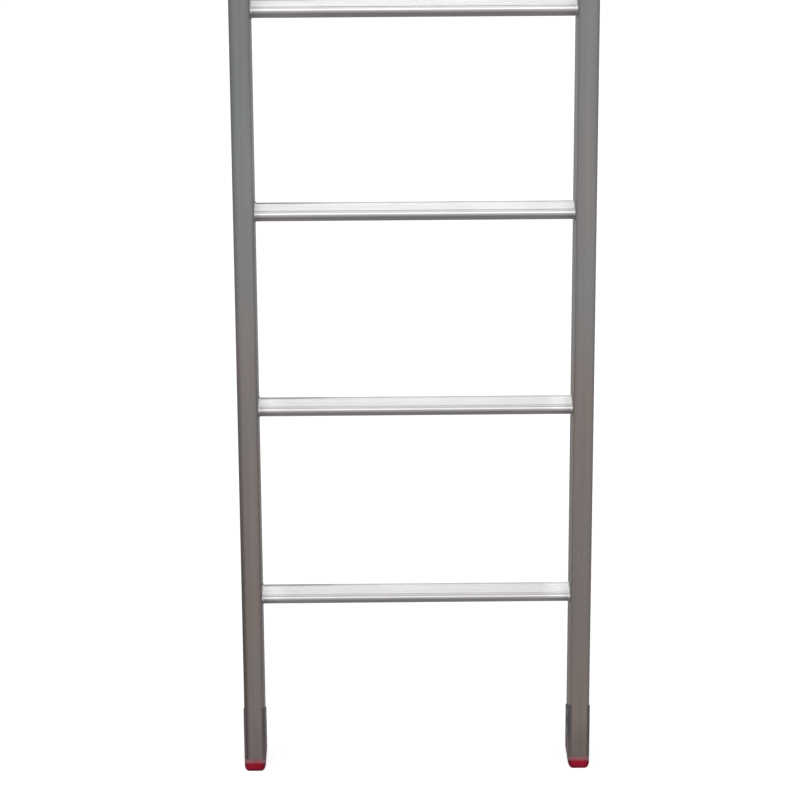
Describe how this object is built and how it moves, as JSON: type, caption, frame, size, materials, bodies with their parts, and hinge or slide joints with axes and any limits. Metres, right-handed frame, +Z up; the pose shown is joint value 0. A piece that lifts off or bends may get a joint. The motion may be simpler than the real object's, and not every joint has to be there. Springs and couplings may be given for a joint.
{
  "type": "extension ladder",
  "caption": "Push-up extension ladder: box-stile base with red feet, sliding fly section with guides, D rungs with ribbed treads and swinging rung hooks.",
  "frame": {"origin": "on the floor under the middle of the whole ladder", "axes": "+Z up the stiles, +X to the right of a climber who looks along +Y, -Y the side that is climbed"},
  "size_m": [0.4546, 0.137, 3.156],
  "materials": {
    "stile_aluminium": "mill-finish extruded aluminium, satin, faint die lines",
    "rung_aluminium": "bright extruded aluminium with a ribbed tread",
    "bracket_aluminium": "pressed aluminium, satin",
    "cast_aluminium": "cast aluminium, tumbled",
    "steel": "zinc-plated steel, satin",
    "rivet": "aluminium blind rivet",
    "red_plastic": "moulded polymer, semi-gloss, slightly scuffed",
    "dark_plastic": "moulded polymer, fine matte grain",
    "nylon": "natural nylon, matte"
  },
  "bodies": {
    "base": {"base_stile_left": "stile_aluminium", "base_stile_right": "stile_aluminium", "base_rung_1": "rung_aluminium", "base_rung_2": "rung_aluminium", "base_rung_3": "rung_aluminium", "base_rung_4": "rung_aluminium", "base_rung_5": "rung_aluminium", "base_rung_6": "rung_aluminium", "base_rung_7": "rung_aluminium", "base_rung_8": "rung_aluminium", "foot_left": "red_plastic", "foot_right": "red_plastic", "foot_cheek_left_outer": "dark_plastic", "foot_cheek_left_inner": "dark_plastic", "foot_cheek_right_outer": "dark_plastic", "foot_cheek_right_inner": "dark_plastic", "foot_rivets": "rivet", "base_top_cap_left": "dark_plastic", "base_top_cap_right": "dark_plastic", "top_guide_left": "bracket_aluminium", "top_guide_right": "bracket_aluminium", "top_guide_strips_left": "nylon", "top_guide_strips_right": "nylon", "top_guide_rivets": "rivet"},
    "fly": {"fly_stile_left": "stile_aluminium", "fly_stile_right": "stile_aluminium", "fly_rung_1": "rung_aluminium", "fly_rung_2": "rung_aluminium", "fly_rung_3": "rung_aluminium", "fly_rung_4": "rung_aluminium", "fly_rung_5": "rung_aluminium", "fly_rung_6": "rung_aluminium", "fly_rung_7": "rung_aluminium", "fly_top_cap_left": "dark_plastic", "fly_top_cap_right": "dark_plastic", "fly_bottom_cap_left": "dark_plastic", "fly_bottom_cap_right": "dark_plastic", "bottom_guide_left": "dark_plastic", "bottom_guide_right": "dark_plastic", "bottom_guide_rivets": "rivet", "travel_stop_left": "dark_plastic", "travel_stop_right": "dark_plastic", "travel_stop_rivets": "rivet", "lock_body_left": "cast_aluminium", "lock_body_right": "cast_aluminium", "lock_rivets": "rivet", "lock_pin_left": "steel", "lock_pin_right": "steel"},
    "hook_left": {"lock_hook_left": "steel"},
    "hook_right": {"lock_hook_right": "steel"}
  },
  "joints": [
    {"name": "fly_slide", "type": "slide", "parent": "base", "child": "fly", "axis": [0, 0, 1], "range_m": [-1.04, 0]},
    {"name": "hook_left_swing", "type": "hinge", "parent": "fly", "child": "hook_left", "pos_m": [-0.1835, -0.0165, 1.36], "axis": [1, 0, 0], "range_deg": [0, 29]},
    {"name": "hook_right_swing", "type": "hinge", "parent": "fly", "child": "hook_right", "pos_m": [0.1835, -0.0165, 1.36], "axis": [1, 0, 0], "range_deg": [0, 29]}
  ]
}
